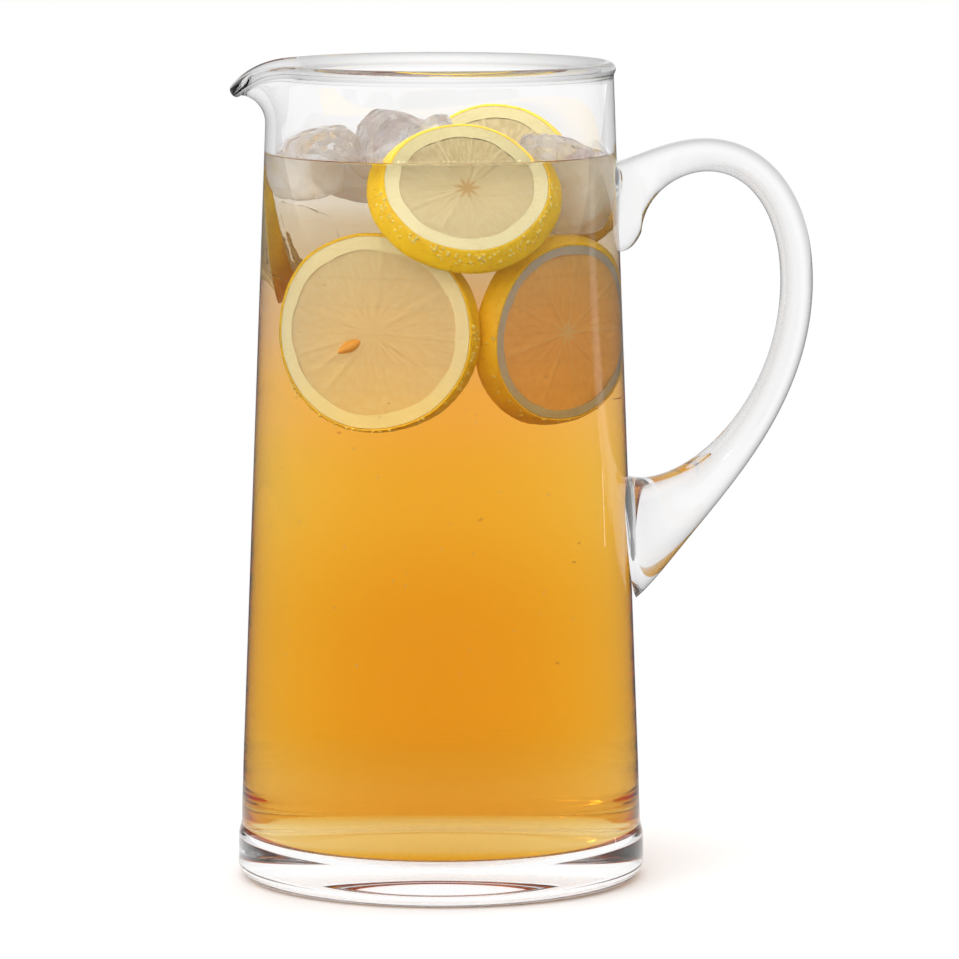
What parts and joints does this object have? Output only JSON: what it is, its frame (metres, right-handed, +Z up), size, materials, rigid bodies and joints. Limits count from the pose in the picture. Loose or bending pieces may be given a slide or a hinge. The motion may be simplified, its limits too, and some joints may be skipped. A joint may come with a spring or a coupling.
{
  "type": "glass pitcher of iced lemon tea",
  "caption": "Tall tapered clear-glass pitcher with heavy base, pulled spout and applied loop handle, filled with iced tea, ice and lemon slices; for serving cold drinks at table",
  "frame": {"origin": "centre of the flat underside, on the table, on the axis of the body", "axes": "+Z up along the axis of the body, +X towards the handle, -X towards the spout, the picture looks along +Y"},
  "size_m": [0.1774, 0.1246, 0.25],
  "materials": {
    "glass": "clear, fire-polished",
    "tea": "clear amber liquid, paler at the top",
    "ice": "wet, slightly cloudy",
    "lemon_peel": "waxy, dimpled",
    "lemon_pith": "matte, spongy",
    "lemon_flesh": "wet, translucent"
  },
  "bodies": {
    "root": {"glass_body": "glass", "glass_handle": "glass", "drink": "tea", "lemon_front_peel": "lemon_peel", "lemon_front_pith": "lemon_pith", "lemon_front_flesh": "lemon_flesh", "lemon_right_peel": "lemon_peel", "lemon_right_pith": "lemon_pith", "lemon_right_flesh": "lemon_flesh", "lemon_top_peel": "lemon_peel", "lemon_top_pith": "lemon_pith", "lemon_top_flesh": "lemon_flesh", "lemon_left_peel": "lemon_peel", "lemon_left_pith": "lemon_pith", "lemon_left_flesh": "lemon_flesh", "lemon_back_peel": "lemon_peel", "lemon_back_pith": "lemon_pith", "lemon_back_flesh": "lemon_flesh", "ice_left": "ice", "ice_middle": "ice", "ice_bar": "ice", "ice_right": "ice", "ice_back": "ice", "ice_sunk": "ice"}
  },
  "joints": []
}
